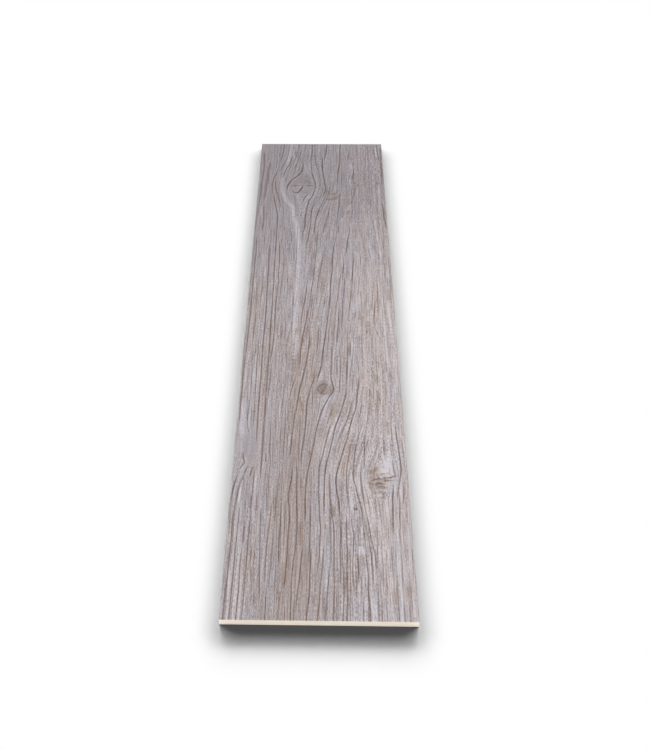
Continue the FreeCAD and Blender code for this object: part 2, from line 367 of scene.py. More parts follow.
# %% Late wood of the near half, left
NEAR_LEFT = [
    stroke(0.55, 0.65, 0.6, (-86, -76), (-86.2, -110), (-86, -130), (-87, -158), (-87.3, -178), (-86, -193),
           (-83, -204), (-80.5, -210)),
    stroke(0.55, 0.7, 0.3, (-45.4, -138), (-46.6, -157), (-46.9, -166), (-48.2, -176)),
    stroke(0.55, 0.6, 0.6, (-47, -184), (-46.6, -205), (-47, -226)),
    stroke(0.55, 0.6, 0.6, (-42, -158), (-41.5, -180), (-42, -205), (-42, -242)),
    stroke(0.45, 0.4, 0.3, (-56, -142), (-54, -165), (-53.5, -197)),
    stroke(0.55, 0.7, 0.7, (-58.7, -184), (-58.5, -210), (-58.4, -228), (-57, -245), (-57.6, -270),
           (-56.3, -300)),
    stroke(0.65, 0.9, 0.9, (-30, -96), (-31.5, -108), (-34, -122), (-36.5, -135), (-38.6, -151)),
    stroke(0.55, 0.5, 0.7, (-30.5, -119), (-31.8, -133), (-33.6, -147)),
    stroke(0.65, 0.8, 0.9, (-29.6, -158), (-31, -175), (-32, -190), (-33, -208), (-34, -225),
           (-34.6, -242)),
    stroke(0.65, 0.9, 0.9, (-31, -252), (-31.7, -268), (-34, -285), (-34.5, -298), (-33.3, -312),
           (-32.6, -326), (-33, -336), (-34, -360), (-34.2, -380), (-35.3, -402), (-36, -419)),
    stroke(0.55, 0.7, 0.9, (-24, -164), (-23.8, -190), (-24.5, -212), (-25.5, -235)),
    stroke(0.75, 0.9, 0.9, (-6, -99), (-8.5, -112), (-11.5, -124), (-13.5, -137), (-16, -150),
           (-16.7, -170), (-17.3, -190), (-18.7, -210), (-21, -230), (-22.6, -247)),
    stroke(0.55, 0.6, 0.7, (-8, -127), (-9.2, -150), (-9, -160), (-9.9, -177)),
    stroke(0.8, 0.9, 0.4, (-89.3, -232), (-88.3, -240), (-87, -246), (-89, -251), (-93.5, -259)),
    stroke(0.8, 1.0, 0.7, (-92, -260), (-95, -272), (-97.3, -287), (-98.7, -304)),
    stroke(0.8, 0.8, 0.7, (-80.5, -247), (-84, -256), (-87, -267), (-90, -278), (-91.8, -294),
           (-93.4, -311), (-94.4, -328), (-94.4, -360), (-95, -394), (-95.6, -428), (-95.8, -449)),
    stroke(0.7, 0.9, 0.7, (-75, -250), (-77, -254), (-78.6, -264), (-79.5, -270)),
    stroke(0.45, 0.5, 0.5, (-86.5, -263), (-85.8, -273), (-85.2, -286)),
    stroke(0.65, 0.8, 0.9, (-74.3, -254), (-74.8, -270), (-75, -285), (-75.8, -300), (-75.4, -322),
           (-76, -345), (-76.3, -375), (-76.5, -400), (-77, -428), (-77.4, -449)),
    stroke(0.65, 0.8, 0.9, (-88, -308), (-88.6, -335), (-89.2, -377), (-89, -400), (-89.6, -420),
           (-90, -449)),
    stroke(0.6, 0.75, 0.6, (-82, -362), (-83, -390), (-82.5, -415), (-83.2, -445)),
    stroke(0.6, 0.75, 0.5, (-65.2, -306), (-64.4, -328), (-63.4, -360), (-62, -390), (-61.2, -410),
           (-60.8, -437)),
    stroke(0.65, 0.85, 0.8, (-52.6, -300), (-53.8, -325), (-55.5, -350), (-56.2, -375), (-56.2, -412)),
    stroke(0.6, 0.7, 0.6, (-49.5, -338), (-50, -365), (-51, -390), (-52, -414)),
    stroke(0.65, 0.8, 0.8, (-42.6, -306), (-42.4, -335), (-43, -358), (-42.4, -387)),
    stroke(0.55, 0.8, 0.9, (-37.8, -303), (-37.5, -330), (-37, -350)),
    dash(-91.4, -62, -132, strength=0.35), dash(-83, -158, -194, strength=0.4),
    dash(-62.5, -104, -118, strength=0.4), dash(-55, -97, -111, -1, 0.65), dash(-52, -108, -118, 1.4),
    dash(-46.5, -79, -91), dash(-46, -108, -119), dash(-38.6, -160, -186), dash(-38.6, -200, -214),
    dash(-62.5, -229, -248, 0.2, 0.9, 0.7, 0.7), dash(-50.6, -208, -224),
    dash(-24.5, -138, -150, 0, 0.6, 1.0), dash(-81.7, -298, -316, -0.8),
    dash(-80.9, -327, -362, -0.6, 0.8, 0.8), dash(-70, -284, -332), dash(-71.5, -358, -381, -0.5, 0.7),
    dash(-68, -368, -381, 0, 0.7), dash(-71.4, -384, -406, 1), dash(-67.6, -388, -409, 0.3, 0.6, 0.8),
    dash(-54.2, -414, -444), dash(-43, -412, -434), dash(-39.7, -415, -432), dash(-36.4, -420, -436),
    dash(-34.4, -430, -449), dash(-66, -415, -438, -0.5, 0.6), dash(-69, -420, -432, 0, 0.6),
    dash(-46, -255, -272, 0.8), dash(-51, -280, -310), dash(-48, -290, -330),
    dash(-62, -255, -300, 0.5, 0.4),
]
LATE_WOOD += NEAR_LEFT
print(len(NEAR_LEFT), "strokes in the near half, left")

# %% Late wood of the near half, middle
NEAR_MIDDLE = [
    stroke(0.75, 1.0, 0.5, (15.2, -44), (14.8, -72), (13.8, -96), (13.8, -109), (15.6, -119), (16.7, -126),
           (15.4, -133), (11.5, -140), (7, -151), (3, -162), (-0.5, -176), (-3, -190), (-5.6, -205),
           (-8.2, -224), (-11.2, -244), (-13.6, -259), (-15.2, -277), (-16, -300), (-15.6, -318),
           (-16.2, -334)),
    stroke(0.75, 1.0, 0.5, (33.3, -125), (32, -138), (29, -150), (25.5, -164), (22, -178), (18.5, -191),
           (15.5, -206), (12.8, -220), (10.5, -233), (7.8, -247), (6, -262), (5, -290), (5.4, -322)),
    stroke(0.75, 1.0, 0.4, (49.2, -102), (47.8, -121), (45.6, -142), (43.4, -159), (40, -172), (36, -189),
           (33, -206), (29, -220), (25.5, -235), (21.5, -252), (19, -264), (18.3, -276), (19.6, -290),
           (21.6, -306), (22.8, -328)),
    stroke(0.65, 0.9, 0.6, (12.4, -182), (10.5, -197), (8, -210), (5.5, -222), (3, -236), (0.5, -248),
           (-0.6, -262), (-0.8, -280), (-0.6, -300), (0, -322), (1.2, -337), (0.6, -352), (0, -370),
           (-0.7, -382), (-2.4, -399)),
    stroke(0.55, 0.7, 0.4, (46.8, -181), (46, -195), (45.6, -216)),
    stroke(0.65, 0.9, 0.6, (44.2, -208), (42, -223), (40, -239), (38.3, -256), (38, -266), (39.8, -276),
           (42, -290), (44.6, -302), (46.6, -315), (47.5, -327)),
    stroke(0.65, 0.85, 0.6, (36.8, -215), (34.4, -232), (32, -246), (30.6, -264), (30.3, -277), (31, -292),
           (32, -312)),
    stroke(0.65, 0.8, 0.8, (54.2, -198), (52.6, -209), (52, -228), (51.3, -240), (51.5, -260)),
    stroke(0.65, 0.85, 0.6, (48.6, -238), (47, -258), (46.7, -275), (48, -290), (50, -308), (52.4, -325),
           (54, -337), (56.6, -356), (58.8, -371), (59.5, -384), (59, -398)),
    stroke(0.55, 0.6, 0.9, (52.2, -284), (53.6, -297), (55.6, -313), (57, -328)),
    stroke(0.65, 0.85, 0.5, (51.6, -336), (52.8, -352), (54.6, -368), (55.2, -384), (55.7, -400),
           (55, -414)),
    stroke(0.55, 0.4, 0.9, (37.5, -148), (35.5, -167), (32.5, -180), (30, -196)),
    stroke(0.65, 0.8, 0.5, (11, -254), (11, -275), (11.5, -292), (13, -308), (14, -322), (15.5, -337),
           (15.6, -360), (16, -374), (15.3, -390), (15.3, -430), (14.3, -449)),
    stroke(0.65, 0.85, 0.9, (22.6, -322), (23, -344), (22.3, -362), (22.3, -385), (21.4, -418)),
    stroke(0.65, 0.9, 0.8, (29.8, -318), (29.4, -345), (29.7, -370), (29, -388), (28.9, -405), (29, -425),
           (28, -449)),
    stroke(0.65, 0.8, 0.7, (26, -378), (25.5, -400), (25.3, -420), (24.8, -435), (24, -449)),
    stroke(0.65, 0.8, 0.9, (34.5, -321), (35.5, -334), (37, -347), (36.4, -360), (35, -385), (35, -420)),
    stroke(0.75, 0.95, 0.9, (41, -366), (41, -384), (40.5, -398), (38.7, -417)),
    stroke(0.65, 0.85, 0.9, (49, -368), (50.3, -385), (51, -402), (50.8, -420), (52, -434), (52, -449)),
    stroke(0.65, 0.85, 0.9, (-27, -240), (-26, -262), (-25.8, -285), (-25, -310), (-24.3, -335),
           (-25, -360), (-27, -380), (-28.5, -405), (-28.3, -425), (-28.2, -449)),
    stroke(0.65, 0.9, 1.0, (-17, -358), (-18.5, -372), (-19.3, -388), (-20.3, -403), (-22, -420),
           (-23, -436)),
    stroke(0.65, 0.9, 0.5, (-9.8, -298), (-10, -325), (-10, -345), (-10.5, -362), (-11.2, -382)),
    stroke(0.65, 0.9, 0.9, (-8, -363), (-9, -382), (-9.7, -400), (-10, -417), (-11, -432), (-12.5, -449)),
    stroke(0.65, 0.75, 0.5, (5, -358), (3.8, -376), (3, -390), (1.5, -408), (0.5, -424), (-0.8, -440),
           (-1.5, -449)),
    stroke(0.65, 0.75, 0.5, (10.5, -384), (9.8, -402), (8.4, -418), (7.8, -434), (6.5, -449)),
    dash(47.7, -334, -353, 0.4, 0.95, 0.9, 0.7), dash(41.6, -331, -352, 3.4, 0.6),
    dash(44.5, -388, -426, -1.2, 0.7, 0.9), dash(45.5, -424, -447, -0.8, 0.7, 0.9),
    dash(60, -338, -354, 1, 0.4, 1.0, 0.6), dash(61.2, -357, -373, 1, 0.6, 1.0),
    dash(71, -364, -381, 0, 0.6, 1.0), dash(6.2, -330, -342, 0, 0.6), dash(-6, -420, -434),
    dash(-4, -400, -440, -1, 0.4), dash(-20, -262, -300, 0, 0.45), dash(-12.6, -225, -240),
    dash(-6.6, -250, -275, 0, 0.4), dash(18, -420, -446, 0, 0.4),
]
LATE_WOOD += NEAR_MIDDLE
print(len(NEAR_MIDDLE), "strokes in the near half, middle")

# %% Late wood of the near half, right
NEAR_RIGHT = [
    stroke(0.75, 0.9, 0.5, (90, -184), (90.6, -204), (91.8, -224), (93, -245), (92.5, -260), (91, -268),
           (88.8, -280), (86.6, -294), (85.6, -303)),
    stroke(0.65, 0.9, 0.6, (89.6, -284), (88.8, -305), (87.7, -325), (88.2, -342)),
    stroke(0.55, 0.6, 0.6, (96, -206), (97.2, -225), (98.4, -242)),
    stroke(0.65, 0.75, 0.7, (95, -272), (94.4, -286), (93.3, -297), (91.8, -308)),
    stroke(0.75, 0.95, 0.5, (83.6, -273), (81.8, -291), (80.3, -310), (80, -328), (79.6, -346)),
    dash(96, -310, -340, strength=0.4), dash(86, -330, -360, 0.6, 0.5), dash(92, -320, -350, 0, 0.4),
    dash(66, -215, -240, -1, 0.35), dash(70, -205, -235, -1.5, 0.35), dash(76, -205, -238, -1, 0.35),
    dash(62, -285, -330, 1, 0.35), dash(66, -290, -345, 2, 0.4), dash(71, -292, -340, 3, 0.4),
    dash(75.5, -290, -345, 3, 0.4), dash(66.5, -345, -420, -0.5, 0.35), dash(76.5, -350, -400, 0, 0.35),
    dash(86.5, -360, -420, -0.5, 0.4), dash(94.5, -395, -449, -1.5, 0.4), dash(63, -415, -449, 0, 0.35),
    dash(56.5, -205, -232, 0, 0.45),
]
LATE_WOOD += NEAR_RIGHT
print(len(NEAR_RIGHT), "strokes in the near half, right")

# %% [markdown]
# A knot is the root of a branch, so its own rings close on themselves, and its dry wood cracks. Each
# ring is an oval with a slow wobble, and each crack is a short stroke.

# %% Knot rings and cracks
def ring(knot, share, half_width, strength, brown, wobble=0.08, points=14):
    """A closed wobbly oval at a share of the knot's size."""
    path = []
    for step in range(points + 1):
        turn = 2 * math.pi * step / points
        reach = share * (1 + wobble * math.sin(3 * turn + 5 * share) + wobble / 2 * math.cos(5 * turn))
        x = knot.x + knot.half_width * reach * math.cos(turn)
        y = knot.y + knot.half_length * reach * math.sin(turn)
        path.append((x, y))
    return Stroke(half_width, strength, brown, path)


KNOT_STROKES = [
    stroke(1.8, 0.5, 0.3, (-50, 323.5), (-42, 324.5), (-33, 325)),
    stroke(1.8, 0.5, 0.3, (-27, 325), (-20, 325), (-10.5, 324.5)),
    stroke(1.3, 0.95, 0.3, (-26, 327), (-29.5, 322.5), (-31.2, 317), (-33.2, 311.5), (-35, 306.8),
           (-38, 304.6), (-41.5, 305), (-44.5, 309), (-45.5, 315)),
    stroke(1.0, 0.2, 0.4, (-25, 340), (-26.5, 334), (-27.5, 330)),
    stroke(1.3, 0.4, 0.4, (-29, 342), (-25, 341), (-21, 338), (-19, 333), (-18, 326)),
    stroke(1.3, 0.35, 0.3, (-30, 307), (-24, 305.5), (-19, 308)),
    ring(KNOTS["pin"], 0.97, 1.1, 0.75, 0.8, wobble=0.03),
    ring(KNOTS["pin"], 0.45, 2.0, 0.35, 0.6),
    stroke(0.7, 0.4, 0.9, (11.5, -121), (13, -126), (12.8, -131), (10.5, -136)),
    stroke(0.9, 0.95, 0.6, (89, -263.8), (82, -265.8), (79, -267), (76, -267.5), (74, -269.5)),
    stroke(0.8, 0.75, 0.6, (86, -269.8), (81, -271.2), (77, -271.2), (74, -270.5)),
    stroke(0.8, 0.55, 0.5, (67.5, -265), (70.5, -262), (73, -261.3), (77.5, -262.2)),
    stroke(1.1, 0.9, 0.7, (63.5, -260.5), (66, -264.6), (68, -268), (71.5, -271)),
    stroke(1.0, 0.95, 1.0, (56, -271.5), (60.5, -270.8), (65, -269.2), (70.5, -269.8)),
    stroke(1.2, 1.0, 0.9, (72.5, -265.5), (73.6, -268.5), (74.4, -271), (74.8, -274)),
    stroke(1.1, 1.0, 1.0, (54.5, -275), (61.5, -276.8), (65, -274.7), (68, -274.9), (71, -276.4),
           (77.5, -276.2)),
    stroke(1.0, 0.85, 1.0, (62.5, -276.5), (67, -279.8), (70.5, -281), (78, -281.5)),
    stroke(0.6, 0.5, 0.6, (64.5, -281), (69, -288), (74.5, -297)),
    stroke(0.6, 0.4, 0.6, (69.5, -283), (73.5, -288), (79, -297)),
    stroke(0.8, 0.9, 0.6, (83.6, -238), (84.2, -248), (85, -256), (85.9, -264), (86.4, -270)),
    stroke(1.0, 1.0, 0.4, (37.8, -307.5), (39.3, -312.2), (41.3, -311.8), (42, -308)),
    stroke(0.7, 0.35, 1.0, (16.6, -307), (16, -316), (15.8, -323)),
    stroke(1.0, 0.8, 1.0, (-66.5, -130), (-67, -205), (-67, -240), (-66.7, -272)),
]
LATE_WOOD += KNOT_STROKES
print(len(KNOT_STROKES), "knot rings and cracks")

# %% [markdown]
# Early wood grew fast and stays pale. Its widest streaks are drawn too, each a pale stroke beside the
# late wood that bounds it.

# %% Early wood streaks
def pale(half_width, strength, *points):
    return Stroke(half_width, strength, 0.0, points)


EARLY_WOOD = [
    pale(3.3, 0.85, (-62, 358), (-62.5, 331), (-62, 314), (-60, 301), (-56, 290), (-51, 277), (-45, 267),
         (-43, 255), (-41.5, 238), (-38, 226), (-36, 210), (-35, 195), (-33, 178), (-32, 160), (-32, 130),
         (-31.5, 100), (-31.5, 82), (-33, 62), (-33, 35), (-34, 0), (-35, -28), (-35.5, -45)),
    pale(4.3, 0.75, (-50, 449), (-51, 425), (-53, 408), (-55.5, 394), (-58, 384)),
    pale(1.0, 0.5, (-46, 440), (-47.5, 405)), pale(2.5, 0.5, (-28, 368), (-29, 350)),
    pale(2.0, 0.6, (-36, 301), (-37, 288)), pale(1.2, 0.5, (-88.5, 396), (-88.5, 380)),
    pale(1.2, 0.5, (-92, 276), (-92, 238)), pale(1.2, 0.5, (-63, 264), (-63, 226)),
    pale(1.2, 0.6, (-79.3, 118), (-79.5, 92)), pale(1.2, 0.6, (-45, 134), (-44, 90)),
    pale(1.2, 0.6, (-5, 130), (-4.5, 110)), pale(1.4, 0.7, (-1, 68), (-3, 40), (-6, 20)),
    pale(1.0, 0.6, (-37, 34), (-37, 19)),
    pale(2.6, 0.75, (-31, -18), (-31.5, -35), (-32.5, -55), (-34, -76)),
    pale(0.8, 0.8, (-2.4, 2), (-2.8, -10)), pale(1.2, 0.6, (28.5, 447), (28, 415)),
    pale(1.0, 0.5, (43.2, 431), (43, 413)), pale(1.2, 0.85, (44, 394), (47.5, 382), (51, 370)),
    pale(1.2, 0.7, (45, 348), (45.5, 322)), pale(1.0, 0.6, (22, 328), (21.4, 302)),
    pale(1.2, 0.6, (56, 326), (55.5, 315)), pale(1.2, 0.6, (95.6, 292), (96, 260)),
    pale(1.2, 0.9, (90, 443), (90, 408)), pale(1.2, 0.8, (47, 275), (42.5, 265), (38.5, 252)),
    pale(1.5, 0.7, (38, 248), (33, 236), (29, 224)), pale(1.2, 0.7, (36, 200), (34, 186)),
    pale(1.0, 0.8, (80, 246), (81, 225), (82.5, 200), (84, 180), (85, 160), (86.5, 145), (88.5, 130)),
    pale(1.2, 0.6, (51, 157), (50, 144)),
    pale(1.3, 0.9, (93, 46), (92.4, 20), (93, 0), (94.5, -20), (94.6, -32)),
    pale(0.8, 0.7, (84, 64), (85, 30), (85.5, 0), (86.5, -68)), pale(1.0, 0.9, (41.2, -33), (40.8, -58)),
    pale(0.9, 0.7, (26, 17), (25.6, 2)), pale(2.0, 0.5, (46, 40), (44, 14)),
    pale(0.8, 0.6, (-84.7, -158), (-84.7, -196)), pale(3.5, 0.5, (-93, -140), (-93, -212)),
    pale(1.2, 0.6, (-63.4, -128), (-63, -162)), pale(0.7, 0.9, (-3.2, -194), (-4.8, -208)),
    pale(1.0, 0.7, (-36, -198), (-36, -224)), pale(1.0, 0.7, (0.8, -99), (-3.4, -113)),
    pale(0.8, 0.7, (48.2, -97), (46.6, -112)), pale(0.8, 0.9, (21, -170), (18, -186)),
    pale(1.2, 0.6, (64, -73), (62, -94)), pale(1.2, 0.6, (75, -148), (75, -177)),
    pale(2.0, 0.8, (35, -254), (35.5, -300), (36, -318)), pale(1.0, 0.8, (40, -262), (40.5, -287)),
    pale(1.6, 0.8, (43, -264), (45.5, -294)),
    pale(6.5, 0.8, (80, -225), (79, -240), (76.5, -253), (76, -270)),
    pale(1.6, 0.5, (81, -222), (82, -262)), pale(1.2, 0.8, (-89, -280), (-89.8, -307)),
    pale(1.2, 0.6, (-72.5, -254), (-72.5, -288)), pale(0.7, 0.9, (-17.8, -268), (-17.8, -282)),
    pale(2.2, 0.6, (-85, -332), (-85.2, -400), (-86, -449)), pale(1.4, 0.55, (-92, -370), (-92.4, -449)),
    pale(1.3, 0.6, (-79.6, -396), (-80, -449)), pale(1.0, 0.8, (2.6, -352), (2.2, -388)),
    pale(1.3, 0.6, (-3, -328), (-3.6, -372)), pale(0.7, 0.9, (8, -400), (7.4, -412)),
    pale(0.7, 0.9, (53.6, -350), (54.6, -364)), pale(0.7, 0.9, (57, -368), (57.5, -388)),
    pale(1.8, 0.6, (83, -372), (84.5, -405), (83, -449)), pale(1.5, 0.6, (65, -355), (64, -383)),
    pale(3.6, 0.8, (44.6, -359), (45, -374)), pale(3.5, 0.4, (38, -420), (40, -432)),
    pale(1.0, 0.6, (-25.6, -417), (-25.8, -430)), pale(2.4, 0.5, (64, -300), (64.6, -346)),
    pale(2.0, 0.5, (-44, -68), (-46, -98)), pale(2.0, 0.5, (52, -160), (54, -185)),
    pale(1.2, 0.6, (36, -320), (40, -324)), pale(2.0, 0.5, (55, -425), (56, -449)),
]
print(len(EARLY_WOOD), "pale streaks")

# %% [markdown]
# Weather, resin and nails stain old boards. A stain is a short, wide and soft stroke, grey or brown.

# %% Stains
STAINS = [
    stroke(3.0, 0.5, 1.0, (20, 291), (12, 284)), stroke(4.0, 0.35, 1.0, (60, 419), (60, 409)),
    stroke(3.0, 0.4, 1.0, (56, 337), (55, 325)), stroke(3.5, 0.45, 1.0, (87, 350), (88, 322)),
    stroke(1.2, 0.6, 1.0, (43.5, 89), (44.3, 79)), stroke(2.5, 0.55, 1.0, (95, 64), (95, 46)),
    stroke(2.2, 0.6, 1.0, (63, 22), (62.6, 13)), stroke(1.4, 0.6, 1.0, (69.4, 34), (69, 23)),
    stroke(1.6, 0.5, 1.0, (56, 9), (55.6, -7)), stroke(1.5, 0.5, 1.0, (61, -3), (61.3, -13)),
    stroke(1.5, 0.5, 1.0, (63.2, -2), (63.2, -11)), stroke(1.4, 0.7, 1.0, (-41.4, 74), (-41.2, 68)),
    stroke(2.5, 0.5, 1.0, (-18, -14), (-18.5, -33)), stroke(3.5, 0.4, 0.6, (16, -3), (17, -32)),
    stroke(2.0, 0.7, 1.0, (70.8, -103), (71, -112)), stroke(1.3, 0.7, 1.0, (83.4, -79), (83.4, -95)),
    stroke(1.1, 0.7, 1.0, (53.5, -100), (53.4, -108)), stroke(1.5, 0.7, 1.0, (62, -130), (62, -138)),
    stroke(1.2, 0.8, 1.0, (71, -130), (71.6, -143)), stroke(2.0, 0.7, 1.0, (70, -149), (69.8, -162)),
    stroke(1.3, 0.7, 1.0, (81, -183), (82.2, -199)), stroke(1.1, 0.6, 1.0, (88.7, -97), (88.7, -111)),
    stroke(1.0, 0.6, 1.0, (82.5, -116), (82, -134)), stroke(1.6, 0.5, 1.0, (59.7, -147), (59.6, -163)),
    stroke(1.2, 0.5, 1.0, (74.4, -79), (74.6, -88)), stroke(1.5, 0.7, 1.0, (37.5, -149), (37, -162)),
    stroke(1.4, 0.7, 1.0, (14.5, -153), (13.2, -172)), stroke(1.3, 0.9, 1.0, (-22.6, -149), (-22.5, -164)),
    stroke(1.4, 0.5, 1.0, (-29, -209), (-28.6, -232), (-29, -247)),
    stroke(2.0, 0.6, 1.0, (-6.5, -101), (-9, -115)), stroke(1.6, 0.6, 1.0, (-32, -77), (-32, -95)),
    stroke(5.5, 0.45, 0.0, (-84, -214), (-83, -236)), stroke(1.3, 0.9, 0.3, (-89.2, -232), (-89, -239)),
    stroke(2.6, 0.95, 1.0, (64.5, -255), (59.6, -260)), stroke(2.2, 0.7, 1.0, (61.2, -262), (60.4, -270)),
    stroke(2.0, 0.62, 1.0, (57.5, -274), (60, -281), (62, -290)),
    stroke(1.8, 0.7, 1.0, (62.5, -275.5), (67, -279), (71, -280.5)),
    stroke(1.6, 0.5, 1.0, (66, -272), (70, -274.5)), stroke(1.7, 0.9, 0.35, (40, -308.8), (40.2, -311.2)),
    stroke(2.0, 1.0, 0.9, (73.8, -267.8), (74.4, -271.5)), stroke(1.6, 0.8, 1.0, (16.6, -309), (16, -321)),
    stroke(2.4, 0.45, 1.0, (22, -296), (23, -332)), stroke(2.4, 0.5, 1.0, (27, -249), (27, -263)),
    stroke(2.0, 0.4, 1.0, (9, -292), (17, -293)), stroke(4.0, 0.6, 0.1, (43.5, -325), (46, -331)),
    stroke(2.6, 0.5, 0.4, (37.5, -346), (40, -357)), stroke(2.0, 0.4, 0.9, (11, -336), (12, -350)),
    stroke(2.4, 0.5, 1.0, (78, -415), (78, -427)), stroke(2.0, 0.6, 1.0, (92, -412), (91.5, -422)),
    stroke(1.7, 0.55, 0.7, (91.7, -426), (91.5, -437)), stroke(2.0, 0.6, 1.0, (-20, -334), (-19.6, -356)),
    stroke(2.4, 0.5, 1.0, (-14, -370), (-13.6, -400)), stroke(2.0, 0.5, 0.9, (-16.5, -395), (-16, -410)),
    stroke(1.5, 0.6, 1.0, (-75.8, -296), (-76, -310)), stroke(2.4, 0.5, 1.0, (12.4, 48), (11.8, 28)),
    stroke(2.5, 0.4, 0.3, (41.5, -94), (41, -102)), stroke(1.6, 0.25, 1.0, (61, -334), (61.6, -358)),
    stroke(8.0, 0.72, 0.15, (-38, 334), (-26, 337)), stroke(2.6, 0.85, 0.15, (-37, 343.5), (-24, 344.5)),
    stroke(6.5, 1.0, 0.45, (4.2, -120.5), (6.8, -126), (4.6, -132)),
    stroke(2.2, 0.6, 1.0, (14, -121), (15, -129), (12.6, -137.5)),
    stroke(2.5, 0.35, 0.2, (34, 240), (42, 250)), stroke(2.0, 0.5, 1.0, (-35, -385), (-34, -405)),
    stroke(1.8, 0.5, 1.0, (28.4, -396), (28.6, -415)), stroke(2.0, 0.4, 1.0, (53.6, -214), (53.8, -232)),
    stroke(1.6, 0.4, 1.0, (50, 170), (53, 150)), stroke(1.6, 0.5, 0.9, (46, 240), (44.4, 226)),
    stroke(3.0, 0.3, 1.0, (5, 252), (6, 236)), stroke(3.0, 0.3, 1.0, (38, 285), (40, 262)),
]
print(len(STAINS), "stains")

# %% [markdown]
# The strokes become helper meshes of loose edges, so that Geometry Nodes can read how wide, strong and
# brown each one is. Attributes on their points carry those three numbers. The helpers are deleted at
# the end.

# %% Strokes as helper objects
NEAR_AN_END = 444.0
PAST_THE_END = 490.0


def past_end(points):
    """The points, carried on past the tile's end if they stop close to it, so no line thins there."""
    x, y = points[-1]
    if abs(y) < NEAR_AN_END:
        return list(points)
    return [*points, (x, math.copysign(PAST_THE_END, y))]


def stroke_paths(name, strokes):
    """Loose edges for a list of strokes, with their width, strength and brownness on the points."""
    mesh = bpy.data.meshes.new(name)
    places, edges, values = [], [], []
    for drawn in strokes:
        first = len(places)
        points = past_end(past_end(drawn.points[::-1])[::-1])
        places += [(x, y, 0.0) for x, y in points]
        edges += [(i, i + 1) for i in range(first, len(places) - 1)]
        values += [(drawn.half_width, drawn.strength, drawn.brown)] * len(points)
    mesh.from_pydata(places, edges, [])
    for column, label in enumerate(("half_width", "strength", "brown")):
        attribute = mesh.attributes.new(label, "FLOAT", "POINT")
        attribute.data.foreach_set("value", [row[column] for row in values])
    helper = bpy.data.objects.new(name, mesh)
    bpy.context.scene.collection.objects.link(helper)
    print(f"{name} has {len(places)} points")
    return helper


helpers = {
    "Late Wood": stroke_paths("late_wood_paths", LATE_WOOD),
    "Early Wood": stroke_paths("early_wood_paths", EARLY_WOOD),
    "Stains": stroke_paths("stain_paths", STAINS),
}

# %% [markdown]
# Next the tree that makes the tile. Its named inputs are the sizes a maker would change. The modifier
# takes them by each socket's identifier, so the list of values is kept until the modifier exists.

# %% The tree and its inputs
tile_tree = bpy.data.node_groups.new("plank_tile_tree", "GeometryNodeTree")
tile_tree.interface.new_socket("Tile", in_out="OUTPUT", socket_type="NodeSocketGeometry")
start = Wire(tile_tree)
tree_values = {}


def tree_input(name, value, kind="Float"):
    """A named input of the tree. Returns its wire, and notes the value for the modifier."""
    socket = tile_tree.interface.new_socket(name, in_out="INPUT", socket_type=f"NodeSocket{kind}")
    tree_values[socket.identifier] = value
    return start.node("NodeGroupInput", output=name)


width = tree_input("Width", WIDTH)
length = tree_input("Length", LENGTH)
thickness = tree_input("Thickness", THICKNESS)
bevel = tree_input("Bevel", 0.5)
columns = tree_input("Face Columns", 257, "Int")
rows = tree_input("Face Rows", 361, "Int")

# %% [markdown]
# The face is a grid of points. Its columns lean with the grain, so that a groove runs along a column
# and stays crisp, and its rows crowd together at the knots, where lines also run across. Close to the
# long edges the columns straighten, because the edges are straight.

# %% The face grid leans with the grain
ROW_CROWDING = 0.75
CROWD_REACH = {"eye": 28.0, "pin": 28.0, "stained": 45.0, "edge": 28.0}
RIM_STRAIGHT = 0.5
RIM_CALM = 12.0

face_size = {"Size X": width - 2 * bevel, "Size Y": length - 2 * bevel}
face = start.node("GeometryNodeMeshGrid", inputs={**face_size, "Vertices X": columns, "Vertices Y": rows})
position = start.node("GeometryNodeInputPosition")
grid_x, grid_y, _ = position.split()
row_y = grid_y
for name, knot in KNOTS.items():
    row_y = row_y - ROW_CROWDING * (grid_y - knot.y) * grid_y.bell(knot.y, CROWD_REACH[name])
inside = (width / 2 - grid_x.math("ABSOLUTE")).rise(RIM_STRAIGHT, RIM_CALM)
column_x = grid_x - grain_shift(grid_x, row_y) * inside
leaning = {"Geometry": face, "Position": column_x.vector(row_y)}
face = start.node("GeometryNodeSetPosition", inputs=leaning)

# %% [markdown]
# Each point of the face now asks for the nearest stroke. The gap to it is counted in half widths, so 0
# is the middle of a stroke and 1 its edge. Lines thin out over their last few millimetres, and stains
# keep their width. Late wood also needs to know on which side of it a point lies: between two points on
# either side the gap then passes through 0, and the printed line is crisp although the points of the
# face are further apart than it is wide.

# %% How far each point is from a stroke
PATH_STEP = 1.0
LONGEST_TAPER = 14.0
THINNEST = 0.05
FARTHEST = 6.0
Nearest = namedtuple("Nearest", "gap side strength brown")


def keep(geometry, name, value, kind="FLOAT", domain="POINT"):
    """Stores a value on the geometry under a name."""
    inputs = {"Geometry": geometry, "Name": name, "Value": value}
    return start.node("GeometryNodeStoreNamedAttribute", {"data_type": kind, "domain": domain}, inputs)


def stored(name, kind="FLOAT"):
    return start.node("GeometryNodeInputNamedAttribute", {"data_type": kind}, {"Name": name})


